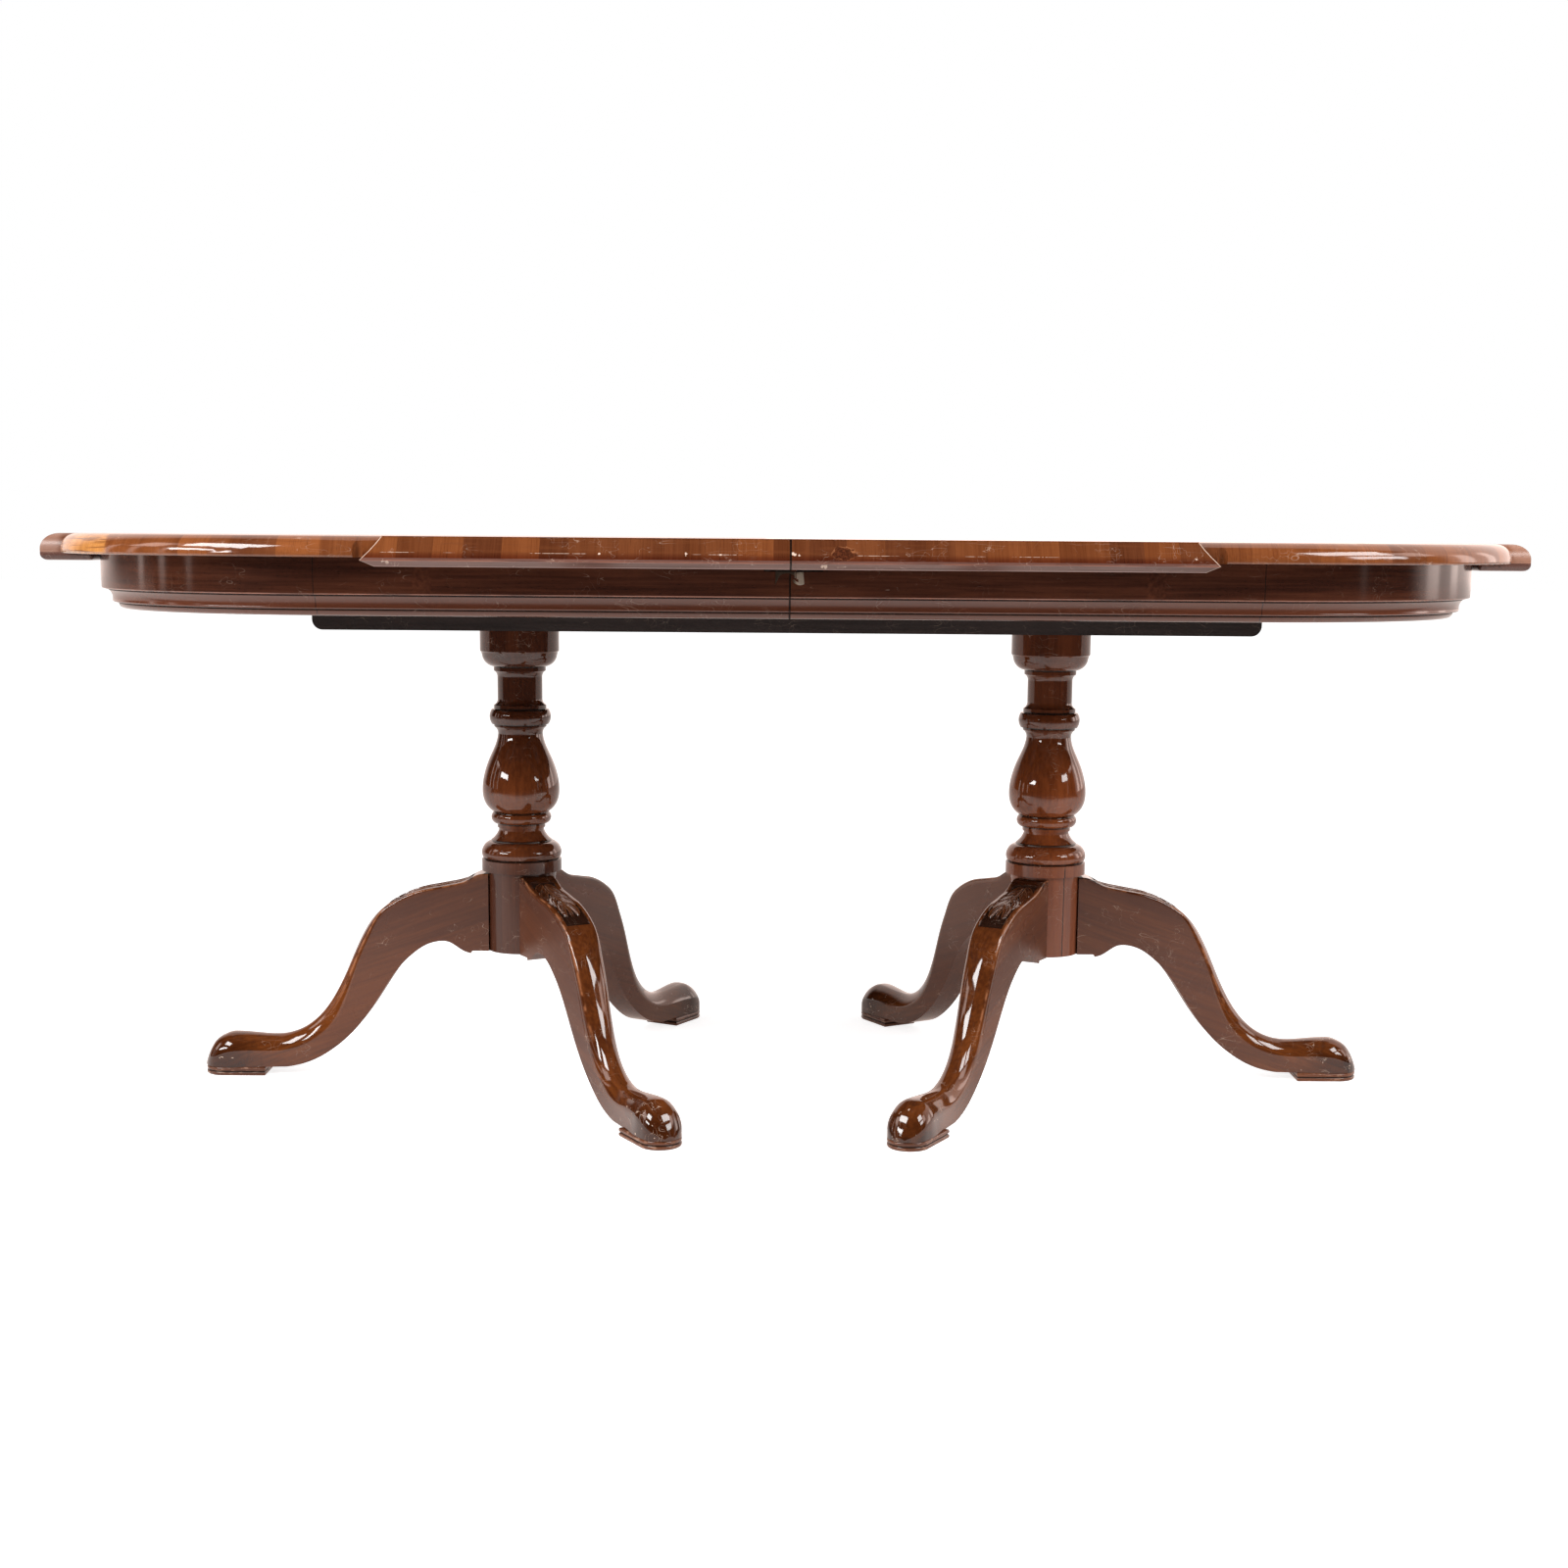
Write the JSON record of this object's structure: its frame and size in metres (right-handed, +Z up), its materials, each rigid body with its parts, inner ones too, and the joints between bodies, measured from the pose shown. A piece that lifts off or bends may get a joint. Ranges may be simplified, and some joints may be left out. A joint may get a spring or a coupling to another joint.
{
  "type": "pedestal dining table",
  "caption": "Extending dining table in mahogany: moulded top and apron that draw apart on wooden slides, on turned pedestals with dovetailed cabriole legs",
  "frame": {"origin": "on the floor, midway between the pedestals, at the middle of the closed table", "axes": "+X along the table towards the half that draws out, +Y towards the back, +Z up"},
  "size_m": [1.905, 1.117, 0.756],
  "materials": {
    "mahogany_top": "French polish, glossy",
    "mahogany_apron": "French polish, glossy",
    "mahogany_pedestal": "French polish, glossy",
    "rail_wood": "stained, dull",
    "iron": "dark, worn",
    "steel": "worn bright"
  },
  "bodies": {
    "left_half": {"apron_corner_back_left": "mahogany_apron", "apron_corner_front_left": "mahogany_apron", "apron_rail_back_left": "mahogany_apron", "apron_rail_front_left": "mahogany_apron", "bearer_screws_left": "steel", "catch_back": "iron", "catch_front": "iron", "column_left": "mahogany_pedestal", "edge_strip_back_left": "mahogany_top", "edge_strip_end_left": "mahogany_top", "edge_strip_front_left": "mahogany_top", "foot_pad_back_left": "mahogany_pedestal", "foot_pad_front_left": "mahogany_pedestal", "foot_pad_outer_left": "mahogany_pedestal", "glue_blocks_left": "rail_wood", "leg_back_left": "mahogany_pedestal", "leg_front_left": "mahogany_pedestal", "leg_outer_left": "mahogany_pedestal", "leg_plate_left": "iron", "leg_plate_screws_left": "steel", "pedestal_bearer_left": "rail_wood", "seam_pins": "rail_wood", "slide_outer_back": "rail_wood", "slide_outer_front": "rail_wood", "top_left": "mahogany_top"},
    "right_half": {"apron_corner_back_right": "mahogany_apron", "apron_corner_front_right": "mahogany_apron", "apron_rail_back_right": "mahogany_apron", "apron_rail_front_right": "mahogany_apron", "bearer_screws_right": "steel", "column_right": "mahogany_pedestal", "edge_strip_back_right": "mahogany_top", "edge_strip_end_right": "mahogany_top", "edge_strip_front_right": "mahogany_top", "foot_pad_back_right": "mahogany_pedestal", "foot_pad_front_right": "mahogany_pedestal", "foot_pad_outer_right": "mahogany_pedestal", "glue_blocks_right": "rail_wood", "hook_bracket_back": "iron", "hook_bracket_front": "iron", "leg_back_right": "mahogany_pedestal", "leg_front_right": "mahogany_pedestal", "leg_outer_right": "mahogany_pedestal", "leg_plate_right": "iron", "leg_plate_screws_right": "steel", "pedestal_bearer_right": "rail_wood", "slide_inner_back": "rail_wood", "slide_inner_front": "rail_wood", "top_right": "mahogany_top"},
    "hook_back": {"hook_back": "steel"},
    "hook_front": {"hook_front": "steel"},
    "slide_middle_back": {"slide_middle_back": "rail_wood"},
    "slide_middle_front": {"slide_middle_front": "rail_wood"}
  },
  "joints": [
    {"name": "extension", "type": "slide", "parent": "left_half", "child": "right_half", "axis": [1, 0, 0], "range_m": [0, 0.914]},
    {"name": "middle_slide_front", "type": "slide", "parent": "left_half", "child": "slide_middle_front", "axis": [1, 0, 0], "range_m": [0, 0.457]},
    {"name": "middle_slide_back", "type": "slide", "parent": "left_half", "child": "slide_middle_back", "axis": [1, 0, 0], "range_m": [0, 0.457]},
    {"name": "hook_swing_front", "type": "hinge", "parent": "right_half", "child": "hook_front", "pos_m": [0.011, -0.524, 0.7148], "axis": [0, -1, 0], "range_deg": [-22, 58]},
    {"name": "hook_swing_back", "type": "hinge", "parent": "right_half", "child": "hook_back", "pos_m": [0.011, 0.524, 0.7148], "axis": [0, -1, 0], "range_deg": [-22, 58]}
  ],
  "couplings": [
    {"joint": "middle_slide_front", "follows": "extension", "ratio": 0.5},
    {"joint": "middle_slide_back", "follows": "extension", "ratio": 0.5}
  ]
}
